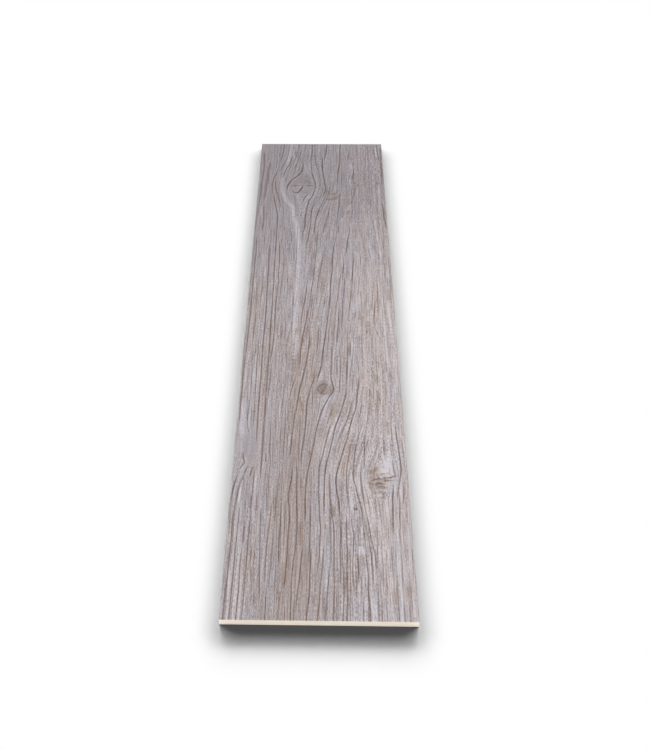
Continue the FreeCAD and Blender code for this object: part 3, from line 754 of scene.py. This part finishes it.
def tapering_paths(label, thinning):
    """The strokes of one helper as smooth paths of short edges, thinning over a third of each at most."""
    helper = tree_input(label, helpers[label], "Object")
    paths = start.node("GeometryNodeObjectInfo", inputs={"Object": helper}, output="Geometry")
    paths = start.node("GeometryNodeMeshToCurve", inputs={"Mesh": paths})
    paths = start.node("GeometryNodeCurveSplineType", {"spline_type": "CATMULL_ROM"}, {"Curve": paths})
    steps = {"Curve": paths, "Length": PATH_STEP}
    paths = start.node("GeometryNodeResampleCurve", {"mode": "LENGTH"}, steps)
    along = start.node("GeometryNodeSplineParameter", output="Length")
    total = start.node("GeometryNodeSplineLength", output="Length")
    taper_length = (total / 3).math("MINIMUM", LONGEST_TAPER)
    taper = (along.math("MINIMUM", total - along) / taper_length).math("MINIMUM", 1.0)
    paths = keep(paths, "taper", taper.math("POWER", thinning))
    paths = keep(paths, "heading", start.node("GeometryNodeInputTangent"), "FLOAT_VECTOR")
    return start.node("GeometryNodeCurveToMesh", inputs={"Curve": paths})


def nearest_stroke(label, thinning=0.5):
    """What each point of the face knows of the nearest stroke. Thinning 0 keeps a stroke's ends wide."""
    edges = tapering_paths(label, thinning)
    index = start.node("GeometryNodeSampleNearest", {"domain": "POINT"}, {"Geometry": edges})

    def there(value, kind="FLOAT"):
        inputs = {"Geometry": edges, "Value": value, "Index": index}
        return start.node("GeometryNodeSampleIndex", {"data_type": kind, "domain": "POINT"}, inputs)

    to_edges = {"target_element": "EDGES"}
    distance = start.node("GeometryNodeProximity", to_edges, {"Geometry": edges}, "Distance")
    half_width = (there(stored("half_width")) * there(stored("taper"))).math("MAXIMUM", THINNEST)
    gap = (distance / half_width).math("MINIMUM", FARTHEST)
    x, y, _ = position.split()
    spot_x, spot_y, _ = there(position, "FLOAT_VECTOR").split()
    heading_x, heading_y, _ = there(stored("heading", "FLOAT_VECTOR"), "FLOAT_VECTOR").split()
    side = ((x - spot_x) * heading_y - (y - spot_y) * heading_x).math("SIGN")
    strength = there(stored("strength")) * there(stored("taper"))
    return Nearest(gap, side, strength, there(stored("brown")))


late = nearest_stroke("Late Wood")
early = nearest_stroke("Early Wood")
stain = nearest_stroke("Stains", thinning=0.0)

# %% [markdown]
# The face keeps what the print will need: its place in the bent grain, and what it knows about the
# strokes. The material reads these attributes, so print and relief can't drift apart.

# %% What the print reads from the face
x, y, _ = position.split()
face_keeps = {
    "late_gap": late.gap,
    "late_side_gap": late.gap * late.side,
    "late_strength": late.strength,
    "late_brown": late.brown,
    "early_gap": early.gap,
    "early_strength": early.strength,
    "stain_gap": stain.gap,
    "stain_strength": stain.strength,
    "stain_brown": stain.brown,
}
face = keep(face, "grain", (x + grain_shift(x, y)).vector(y), "FLOAT_VECTOR")
for name, value in face_keeps.items():
    face = keep(face, name, value)
print("the face keeps grain,", ", ".join(face_keeps))

# %% [markdown]
# The relief only cuts down from the flat face, as the press plate does, so the tile never grows past
# its CAD size. Late wood is the deepest, and coarse fibres leave a shallow unevenness between. The
# fibres here are the same noise as the streaks of the print.

# %% The relief
STREAKS = dict(width=1.7, length=46.0, seed=5.0)
GROOVE_EDGE = (1.8, 0.2)
HOLLOW_EDGE = (0.62, 0.35)

groove_depth = tree_input("Groove Depth", 0.3)
fibre_depth = tree_input("Fibre Depth", 0.12)
grain_across, grain_along, _ = stored("grain", "FLOAT_VECTOR").split()
grooves = stored("late_gap").rise(*GROOVE_EDGE) * stored("late_strength")
hollows = grain_across.noise(grain_along, **STREAKS).rise(*HOLLOW_EDGE)
cut = grooves * groove_depth + hollows * fibre_depth
lift = start.node("ShaderNodeCombineXYZ", inputs={"Z": thickness - cut})
face = start.node("GeometryNodeSetPosition", inputs={"Geometry": face, "Offset": lift})

# %% [markdown]
# The rim of the face is extruded twice: out to the foot of the ground bevel, and down to the back.
# Scaling the rim keeps its corners square. Two marks go on the faces. The print covers the face and its
# bevel, and stops above the ground edges. The share of flat face is 1 on the face and 0 on the rest,
# and where an edge asks for it, the edge gets the mean of the faces beside it. So it is a half along
# the rim and nowhere else.

# %% Bevel and ground edges
def extrude_rim(geometry, rim):
    inputs = {"Mesh": geometry, "Selection": rim, "Offset Scale": 0.0}
    made = start.node("GeometryNodeExtrudeMesh", {"mode": "EDGES"}, inputs)
    return made, made.beside("Top"), made.beside("Side")


def move(geometry, selection, place):
    inputs = {"Geometry": geometry, "Selection": selection, "Position": place}
    return start.node("GeometryNodeSetPosition", inputs=inputs)


def logic(operation, *marks):
    return start.node("FunctionNodeBooleanMath", {"operation": operation}, dict(enumerate(marks)))


edge_faces = start.node("GeometryNodeInputMeshEdgeNeighbors")
is_one = {"data_type": "INT", "operation": "EQUAL"}
open_edges = start.node("FunctionNodeCompare", is_one, {"A": edge_faces, "B": 1})
x, y, z = position.split()
slab, foot, bevel_faces = extrude_rim(face, open_edges)
foot_x = x * width / (width - 2 * bevel)
foot_y = y * length / (length - 2 * bevel)
slab = move(slab, foot, foot_x.vector(foot_y, thickness - bevel))
slab, foot, wall_faces = extrude_rim(slab, foot)
slab = move(slab, foot, x.vector(y))
slab = keep(slab, "printed", logic("NOT", wall_faces), "BOOLEAN", "FACE")
flat_face = logic("NOT", logic("OR", bevel_faces, wall_faces))
slab = keep(slab, "flat_share", flat_face, "FLOAT", "FACE")
outline = start.node("GeometryNodeMeshToCurve", inputs={"Mesh": slab, "Selection": open_edges})

# %% [markdown]
# The back carries a lattice of low ribs that keys into the adhesive. It is easier to think of the
# hollows: one shallow pan with sloping walls, repeated on a grid of points. The flat between the pans
# is filled from their mouths and the outline of the slab, so all the seams share the same points and
# can be welded.

# %% One pan of the keyed back
PAN_SLOPE = 40.0

land = tree_input("Land", 10.0)
rib = tree_input("Rib", 4.0)
key_depth = tree_input("Key Depth", 0.8)
pan_columns = tree_input("Pan Columns", 6, "Int")
pan_rows = tree_input("Pan Rows", 29, "Int")
pitch_x = (width - 2 * land + rib) / pan_columns
pitch_y = (length - 2 * land + rib) / pan_rows
mouth = {"Size X": pitch_x - rib, "Size Y": pitch_y - rib, "Vertices X": 2, "Vertices Y": 2}
pan = start.node("GeometryNodeMeshGrid", inputs=mouth)
pan = start.node("GeometryNodeExtrudeMesh", {"mode": "FACES"}, {"Mesh": pan, "Offset Scale": key_depth})
wall_run = key_depth * math.tan(math.radians(PAN_SLOPE))
floor_x = x - x.math("SIGN") * wall_run
floor_y = y - y.math("SIGN") * wall_run
pan = move(pan, pan.beside("Top"), floor_x.vector(floor_y, z))
pan = start.node("GeometryNodeFlipFaces", inputs={"Mesh": pan})

# %% The keyed back
across_back = {"Size X": pitch_x * (pan_columns - 1), "Vertices X": pan_columns}
along_back = {"Size Y": pitch_y * (pan_rows - 1), "Vertices Y": pan_rows}
spots = start.node("GeometryNodeMeshGrid", inputs={**across_back, **along_back})
pans = start.node("GeometryNodeInstanceOnPoints", inputs={"Points": spots, "Instance": pan})
pans = start.node("GeometryNodeRealizeInstances", inputs={"Geometry": pans})
mouths = start.node("GeometryNodeMeshToCurve", inputs={"Mesh": pans, "Selection": open_edges})
outlines = start.node("GeometryNodeJoinGeometry", inputs={"Geometry": [outline, mouths]})
flat = start.node("GeometryNodeFillCurve", {"mode": "TRIANGLES"}, {"Curve": outlines})
flat = start.node("GeometryNodeFlipFaces", inputs={"Mesh": flat})

# %% [markdown]
# Welding closes the slab. Its shading is smooth over the print, but breaks along the rim, so that the
# bevel catches the light as a crisp line. The tree has worked in millimetres, and one scaling turns
# them into metres. Two materials finish it: the printed glaze on the face and its bevel, and the bare
# cream body on the ground edges and the back.

# %% Weld, scale and dress
WELD = 0.002
RIM_SHARE = {"B": 0.5, "Epsilon": 0.1}

glaze = bpy.data.materials.new("wood_print_glaze")
body = bpy.data.materials.new("cream_porcelain_body")
tile = start.node("GeometryNodeJoinGeometry", inputs={"Geometry": [slab, pans, flat]})
tile = start.node("GeometryNodeMergeByDistance", inputs={"Geometry": tile, "Distance": WELD})
is_printed = stored("printed", "BOOLEAN")
smooth = {"Geometry": tile, "Shade Smooth": is_printed}
tile = start.node("GeometryNodeSetShadeSmooth", {"domain": "FACE"}, smooth)
rim = start.node("FunctionNodeCompare", {"operation": "EQUAL"}, {"A": stored("flat_share"), **RIM_SHARE})
crisp = {"Geometry": tile, "Selection": rim, "Shade Smooth": False}
tile = start.node("GeometryNodeSetShadeSmooth", {"domain": "EDGE"}, crisp)
tile = start.node("GeometryNodeTransform", inputs={"Geometry": tile, "Scale": (MM, MM, MM)})
tile = start.node("GeometryNodeRealizeInstances", inputs={"Geometry": tile})
tile = start.node("GeometryNodeSetMaterial", inputs={"Geometry": tile, "Material": body})
dressed = {"Geometry": tile, "Selection": is_printed, "Material": glaze}
tile = start.node("GeometryNodeSetMaterial", inputs=dressed)
start.node("NodeGroupOutput", inputs={"Tile": tile})
print("the tree has", len(tile_tree.nodes), "nodes and", len(tree_values), "inputs")

# %% [markdown]
# What a modifier makes is live, and goes when its object goes. So the result is copied into a plain
# mesh of its own, without the empty material slot that comes first in the copy. Then the helpers have
# done their work. A closed slab has two faces at every edge, and its volume is close to that of the CAD
# solid.

# %% The tile as a plain mesh
maker = bpy.data.objects.new("plank_tile_maker", bpy.data.meshes.new("plank_tile_maker"))
bpy.context.scene.collection.objects.link(maker)
modifier = maker.modifiers.new("plank_tile_tree", "NODES")
modifier.node_group = tile_tree
for identifier, value in tree_values.items():
    modifier[identifier] = value
finished = maker.evaluated_get(bpy.context.evaluated_depsgraph_get())
plank = bpy.data.objects.new("plank", bpy.data.meshes.new_from_object(finished))
bpy.context.scene.collection.objects.link(plank)
plank.data.materials.pop(index=0)
for helper in (maker, *helpers.values()):
    bpy.data.objects.remove(helper)

checked = bmesh.new()
checked.from_mesh(plank.data)
loose = sum(len(edge.link_faces) != 2 for edge in checked.edges)
triangles = sum(len(f.verts) - 2 for f in checked.faces)
print(f"{triangles} triangles, {loose} open edges, {checked.calc_volume() / MM ** 3:.0f} mm3")
checked.free()

# %% [markdown]
# The print. A ceramic printer lays down a few inks over a pale ground, and the eye reads them as wood.
# First comes one number for every point, its tone, from 0 for the darkest ground to 1 for the palest. A
# ramp then turns tone into colour, once cool and once warm. Colours are written as seen on screen, from
# 0 to 255.

# %% Colours and a fresh material tree
def seen(red, green, blue):
    """A colour as seen on screen, turned into the linear values that shaders use."""
    channels = [c / 255 for c in (red, green, blue)]
    linear = [c / 12.92 if c <= 0.04045 else ((c + 0.055) / 1.055) ** 2.4 for c in channels]
    return (*linear, 1.0)


def fresh_tree(owner):
    """An empty node tree for a material or a world."""
    owner.use_nodes = True
    owner.node_tree.nodes.clear()
    return Wire(owner.node_tree)


def mixed(mask, under, over):
    """One colour over another, as strong as the mask."""
    settings = {"data_type": "RGBA"}
    return mask.node("ShaderNodeMix", settings, {"Factor": mask, "A": under, "B": over}, "Result")


COOL = [(0.0, seen(108, 100, 103)), (0.5, seen(159, 152, 156)), (1.0, seen(212, 207, 213))]
WARM = [(0.0, seen(108, 94, 88)), (0.5, seen(160, 147, 144)), (1.0, seen(212, 201, 199))]
INK = seen(84, 76, 77)
BROWN = seen(98, 73, 60)
STAIN_GREY = seen(140, 132, 135)
STAIN_BROWN = seen(144, 119, 100)

# %% [markdown]
# The fibres between the strokes are noise, drawn out along the bent grain. Only their width and length
# differ, from slow bands to the short dashes of cut pores. They could be drawn one by one, but nobody
# would look for a certain fibre, and noise gives as many as the face has room for.

# %% Fibres of several sizes
glaze_start = fresh_tree(glaze)
grain = glaze_start.node("ShaderNodeAttribute", {"attribute_name": "grain"}, output="Vector")
across, along, _ = grain.split()
bands = across.noise(along, width=5.0, length=200.0, seed=11.0, detail=1.0)
streaks = across.noise(along, **STREAKS)
fibres = across.noise(along, width=0.7, length=30.0, seed=7.0)
dashes = across.noise(along, width=0.7, length=3.5, seed=9.0, detail=1.0)
flecks = across.noise(along, width=1.0, length=8.0, seed=13.0, detail=1.0)

# %% [markdown]
# The plank's tone is not even. Its far end is darker and cooler, its right side paler, and a brown
# strip runs down the near half. Each such part is a mask from 0 to 1 with soft borders, in metres on
# the object. Inside a knot the wood is dense, so its fibres are calm.

# %% Parts of the plank
CALM_ACROSS = 1.5
CALM_ALONG = 1.75
CALM_GAIN = 1.6

x, y, _ = glaze_start.node("ShaderNodeTexCoord", output="Object").split()
far = y.rise(-0.02, 0.38)
near = y.rise(0.1, -0.15)
near_end = y.rise(-0.26, -0.34)
right = x.rise(0.01, 0.075)
left_side = x.rise(-0.04, -0.06)
left_border = x.rise(-0.055, -0.09) * near
brown_strip = x.bell(-0.028, 0.018) * near
pale_middle = x.bell(0.012, 0.02) * y.bell(-0.2, 0.13)
warm_right = right * y.rise(-0.42, -0.26)
beside_eye = x.rise(-0.05, -0.056) * y.bell(0.335, 0.035)


def in_knot(knot):
    """1 in the middle of a knot, fading out past its rim."""
    in_width = x.bell(knot.x * MM, CALM_ACROSS * knot.half_width * MM)
    return in_width * y.bell(knot.y * MM, CALM_ALONG * knot.half_length * MM)


calm = (CALM_GAIN * sum(in_knot(knot) for knot in KNOTS.values())).math("MINIMUM", 1.0)

# %% [markdown]
# Tone is a sum. Each part of the plank adds its own slow shade, and each size of fibre adds as much as
# it shows there: the thin ones count for less at the far end, where flecks take over, and the dashes
# for less at the near right. The whole texture is stronger on the right and fainter at the far left.

# %% The tone of the ground
GROUND_TONE = 0.59
CALMING = 0.4


def weighted(*parts):
    """The sum of some masks or noises, each given after its weight."""
    return sum(weight * part for weight, part in parts)


tone = GROUND_TONE + weighted(
    (-0.175, far),
    (0.14, right * (1 - 0.8 * far)),
    (-0.06, brown_strip),
    (0.045, left_border),
    (-0.02, left_side),
    (0.08, pale_middle),
)
texture = weighted(
    (0.38, bands - 0.5),
    (0.42, streaks - 0.5),
    (1.1 * (1 - 0.35 * far), fibres - 0.5),
    (1.15 * (1 - 0.45 * right * near_end), dashes - 0.5),
    (far * (0.35 + 0.55 * right), flecks - 0.5),
)
contrast = 1 + weighted(
    (0.2, right * (1 + (1 - near_end) * (1 - far))),
    (-0.2, far * x.rise(0.02, -0.02)),
    (-0.15, far * x.rise(-0.04, -0.07)),
)
tone = tone + texture * (1 - CALMING * calm) * contrast

# %% [markdown]
# Pale streaks lift the tone, and so does a narrow pale flank on both sides of late wood. The fibres
# give every stroke a rough edge. The gap with a side makes late wood crisp, but it would draw a false
# line where the nearest stroke changes from one side to the other, so the plain gap holds it up there.
# Warm and cool ground alternate in slow patches. The near end and the brown strip are warmer, and the
# far end, the knots and the pale streaks are cooler.

# %% Ground colour
SIDE_CHANGE = 0.6
PALE_EDGE = (1.7, 0.3)
PALE_FADE = 0.55
WARM_START = 0.4


def kept(name):
    """A number that the face keeps for the print."""
    return glaze_start.node("ShaderNodeAttribute", {"attribute_name": name}, output="Fac")


rough_edge = fibres - 0.5
crisp_gap = kept("late_side_gap").math("ABSOLUTE")
late_gap = crisp_gap.math("MAXIMUM", kept("late_gap") - SIDE_CHANGE) + rough_edge
pale_flank = late_gap.bell(3.0, 1.0) * kept("late_strength")
early_wood = (kept("early_gap") + rough_edge).rise(*PALE_EDGE) * kept("early_strength")
early_wood = early_wood * (1 - PALE_FADE * beside_eye)
tone = tone + weighted((0.27, early_wood), (0.08, pale_flank))
clouds = across.noise(along, width=16.0, length=90.0, seed=2.0, detail=3.0)
warmth = WARM_START + weighted(
    (3.0, clouds - 0.5),
    (-0.6, far),
    (0.7, brown_strip),
    (0.3, warm_right),
    (-0.6, early_wood),
    (-0.35, calm),
)
cool = tone.node("ShaderNodeValToRGB", {"stops": COOL}, {"Fac": tone})
warm = tone.node("ShaderNodeValToRGB", {"stops": WARM}, {"Fac": tone})
colour = mixed(warmth.math("MAXIMUM", 0.0).math("MINIMUM", 1.0), cool, warm)

# %% [markdown]
# Between the strokes lie fainter rings. They cross the plank at a fairly even spacing, so they don't
# need drawing: the fraction of the place across the grain, pushed to and fro by a slow noise, passes
# its middle at every ring. They come and go along the plank, and stop at the knots.

# %% Faint rings
RING_SPACING = 5.0
RING_WANDER = 2.2
RING_EDGE = (0.13, 0.03)
RING_INK = 0.58

wander = across.noise(along, width=11.0, length=260.0, seed=21.0, detail=1.0)
ring_place = (across / RING_SPACING + RING_WANDER * wander).math("FRACT") - 0.5
ring_gap = ring_place.math("ABSOLUTE") + 0.12 * rough_edge
come_and_go = across.noise(along, width=5.0, length=70.0, seed=23.0, detail=1.0).rise(0.36, 0.62)
broken = 0.5 + 0.8 * (1 - dashes)
ringed = ring_gap.rise(*RING_EDGE) * come_and_go * broken * (1 - 0.2 * right) * (1 - calm)
colour = mixed(RING_INK * ringed, colour, mixed(0.75 - 0.5 * far, INK, BROWN))

# %% [markdown]
# Stains go on next, broken up a little by the fibres, and late wood last, because it is the darkest
# ink. A slow noise makes its lines stronger and weaker along their way, and towards the near end they
# turn browner.

# %% Stains and late wood
STAIN_EDGE = (2.4, 0.0)
STAIN_CURVE = 1.3
LINE_EDGE = (1.75, 0.1)
NEAR_BROWN = 0.35

stained = (kept("stain_gap") + rough_edge).rise(*STAIN_EDGE)
stained = stained * kept("stain_strength").math("POWER", STAIN_CURVE) * (0.6 + 0.4 * fibres.rise(0.6, 0.4))
colour = mixed(stained, colour, mixed(kept("stain_brown"), STAIN_GREY, STAIN_BROWN))
uneven = across.noise(along, width=8.0, length=24.0, seed=31.0, detail=1.0)
ink = mixed((kept("late_brown") + NEAR_BROWN * (1 - far)).math("MINIMUM", 1.0), INK, BROWN)
inked = late_gap.rise(*LINE_EDGE) * kept("late_strength") * (0.45 + 0.15 * far + 0.75 * uneven)
colour = mixed(inked.math("MINIMUM", 1.0), colour, ink)

# %% [markdown]
# The glaze over the print is matte. Its finest fibres are too small for the mesh, so they are bump, and
# the streaks vary its roughness a little.

# %% The matte glaze
def finish(tree_start, surface):
    """Ends a material in one Principled shader."""
    shader = tree_start.node("ShaderNodeBsdfPrincipled", inputs=surface)
    tree_start.node("ShaderNodeOutputMaterial", inputs={"Surface": shader})


bump = glaze_start.node("ShaderNodeBump", inputs={"Strength": 0.4, "Distance": 0.0002, "Height": fibres})
matte = 0.74 + 0.16 * streaks
finish(glaze_start, {"Base Color": colour, "Roughness": matte, "Specular IOR Level": 0.2, "Normal": bump})
print("the print has", len(glaze.node_tree.nodes), "nodes")

# %% [markdown]
# The body is cream porcelain. Its edges are ground, and its back is left as it was pressed and fired.
# Fired clay is never one colour: fine specks and slow clouds of buff lie in the cream.

# %% Cream porcelain body
CREAM = seen(228, 217, 203)
BUFF = seen(212, 198, 180)

body_start = fresh_tree(body)
place = body_start.node("ShaderNodeTexCoord", output="Object")
speckle = place.node("ShaderNodeTexNoise", inputs={"Vector": place, "Scale": 900.0, "Detail": 3.0})
cloud = place.node("ShaderNodeTexNoise", inputs={"Vector": place, "Scale": 40.0, "Detail": 2.0})
clay = mixed(speckle.rise(0.45, 0.75) * 0.5 + cloud.rise(0.4, 0.7) * 0.3, CREAM, BUFF)
bump = body_start.node("ShaderNodeBump", inputs={"Strength": 0.1, "Distance": 0.0001, "Height": speckle})
matte = 0.7 + 0.2 * speckle
finish(body_start, {"Base Color": clay, "Roughness": matte, "Specular IOR Level": 0.3, "Normal": bump})
print("the body has", len(body.node_tree.nodes), "nodes")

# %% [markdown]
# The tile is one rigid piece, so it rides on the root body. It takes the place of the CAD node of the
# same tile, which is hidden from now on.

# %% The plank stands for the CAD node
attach(plank, "root")
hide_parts("plank_tile")

# %% [markdown]
# The tile lies on a white studio floor. The floor is a hair below it, so that the two never share a
# surface, and it is clear from below, so that a camera under it sees the keyed back.

# %% Floor
FLOOR_SIZE = 12.0
FLOOR_LEVEL = -0.05 * MM

floor_mesh = bpy.data.meshes.new("studio_floor")
half = FLOOR_SIZE / 2
corners = [(x, y, FLOOR_LEVEL) for x, y in ((-half, -half), (half, -half), (half, half), (-half, half))]
floor_mesh.from_pydata(corners, [], [(0, 1, 2, 3)])
studio_floor = bpy.data.objects.new("studio_floor", floor_mesh)
bpy.context.scene.collection.objects.link(studio_floor)
white = bpy.data.materials.new("white_floor")
white_start = fresh_tree(white)
paint = white_start.node("ShaderNodeBsdfDiffuse", inputs={"Color": (1.0, 1.0, 1.0, 1.0)})
clear = white_start.node("ShaderNodeBsdfTransparent")
from_below = white_start.node("ShaderNodeNewGeometry", output="Backfacing")
covering = white_start.node("ShaderNodeMixShader", inputs={0: from_below, 1: paint, 2: clear})
white_start.node("ShaderNodeOutputMaterial", inputs={"Surface": covering})
floor_mesh.materials.append(white)
print(f"the floor is {FLOOR_SIZE:.0f} m wide")

# %% [markdown]
# The lamps come in two sets, by light linking, because one set can't both shade the floor and show the
# grain. An arc of low lamps behind the tile lights the floor alone, so that the thin slab throws a deep
# soft shadow towards the camera and a little to both sides. The others light the tile alone: a wide
# lamp overhead, one from behind that picks out the grain, one in front for the edge that faces the
# camera, and one below for the back. Only the tile blocks these, so the floor doesn't shade it from
# below. A lamp's share is how much of full white it gives a level floor or face. Light that bounces off
# the tile is kept from the floor, or its pale edge would fill the shadow.

# %% Lamps
Lamp = namedtuple("Lamp", "name azimuth elevation spread share lights")
LAMPS = [
    Lamp("overhead_lamp", azimuth=0, elevation=90, spread=100, share=0.49, lights=plank),
    Lamp("grain_lamp", azimuth=-40, elevation=40, spread=25, share=0.3, lights=plank),
    Lamp("edge_lamp", azimuth=180, elevation=10, spread=15, share=0.125, lights=plank),
    Lamp("back_lamp", azimuth=0, elevation=-90, spread=20, share=0.7, lights=plank),
]
ARC_SHARES = {6: 0.19, 14: 0.19, 22: 0.2, 30: 0.06, 40: 0.11, 50: 0.1, 60: 0.08}
ARC_LOWEST = 14
ARC_RISE = 0.1
ARC_SPREAD = 14
for azimuth, share in ARC_SHARES.items():
    elevation = ARC_LOWEST + ARC_RISE * azimuth
    for turn in (-azimuth, azimuth):
        LAMPS.append(Lamp(f"shadow_lamp_{turn}", turn, elevation, ARC_SPREAD, share / 2, studio_floor))
for lamp in LAMPS:
    light = bpy.data.lights.new(lamp.name, "SUN")
    light.angle = math.radians(lamp.spread)
    light.energy = lamp.share * math.pi / abs(math.sin(math.radians(lamp.elevation)))
    sun = bpy.data.objects.new(lamp.name, light)
    sun.rotation_euler = Euler((math.radians(90 - lamp.elevation), 0, math.radians(180 - lamp.azimuth)))
    bpy.context.scene.collection.objects.link(sun)
    lit = bpy.data.collections.new(f"lit_by_{lamp.name}")
    lit.objects.link(lamp.lights)
    sun.light_linking.receiver_collection = lit
    if lamp.lights is plank:
        sun.light_linking.blocker_collection = lit
plank.visible_diffuse = False
print(len(LAMPS), "lamps")

# %% [markdown]
# Round the floor the world is white to the camera and in reflections, but lights the tile only a
# little, so the lamps alone make the shadow.

# %% World
AMBIENT = 0.07

world = bpy.data.worlds.new("white_studio")
bpy.context.scene.world = world
world_start = fresh_tree(world)
camera_ray = world_start.node("ShaderNodeLightPath", output="Is Camera Ray")
looked_at = camera_ray.math("MAXIMUM", camera_ray.beside("Is Glossy Ray"))
looked_at = looked_at.math("MAXIMUM", camera_ray.beside("Is Transmission Ray"))
strength = AMBIENT + (1 - AMBIENT) * looked_at
sky = world_start.node("ShaderNodeBackground", inputs={"Color": (1, 1, 1, 1), "Strength": strength})
world_start.node("ShaderNodeOutputWorld", inputs={"Surface": sky})

# %% [markdown]
# The camera looks down the plank from above its near end. Its place, lens and slight tilt were worked
# out from the tile's straight edges. They only agree if the middle of the lens is a little to one side
# of the middle of the picture, as in a photo that was cropped.

# %% Camera
CAMERA_PLACE = Vector((-2.2, -934.3, 833.2)) * MM
CAMERA_DOWN = 44.739
CAMERA_TURN = -1.597
CAMERA_ROLL = -0.698
FOCAL_PIXELS = 928.6
SHIFT_PIXELS = 24.9
IMAGE_HEIGHT = 750
SENSOR = 36.0

lens = bpy.data.cameras.new("camera")
lens.sensor_width = SENSOR
lens.lens = FOCAL_PIXELS * SENSOR / IMAGE_HEIGHT
lens.shift_x = SHIFT_PIXELS / IMAGE_HEIGHT
camera = bpy.data.objects.new("camera", lens)
aim = Euler((math.radians(90 - CAMERA_DOWN), 0, math.radians(-CAMERA_TURN))).to_matrix()
aim = aim @ Matrix.Rotation(math.radians(CAMERA_ROLL), 3, "Z")
camera.matrix_world = Matrix.LocRotScale(CAMERA_PLACE, aim, None)
bpy.context.scene.collection.objects.link(camera)
bpy.context.scene.camera = camera
bpy.context.scene.view_settings.view_transform = "Standard"
print(f"the camera has a {lens.lens:.1f} mm lens")
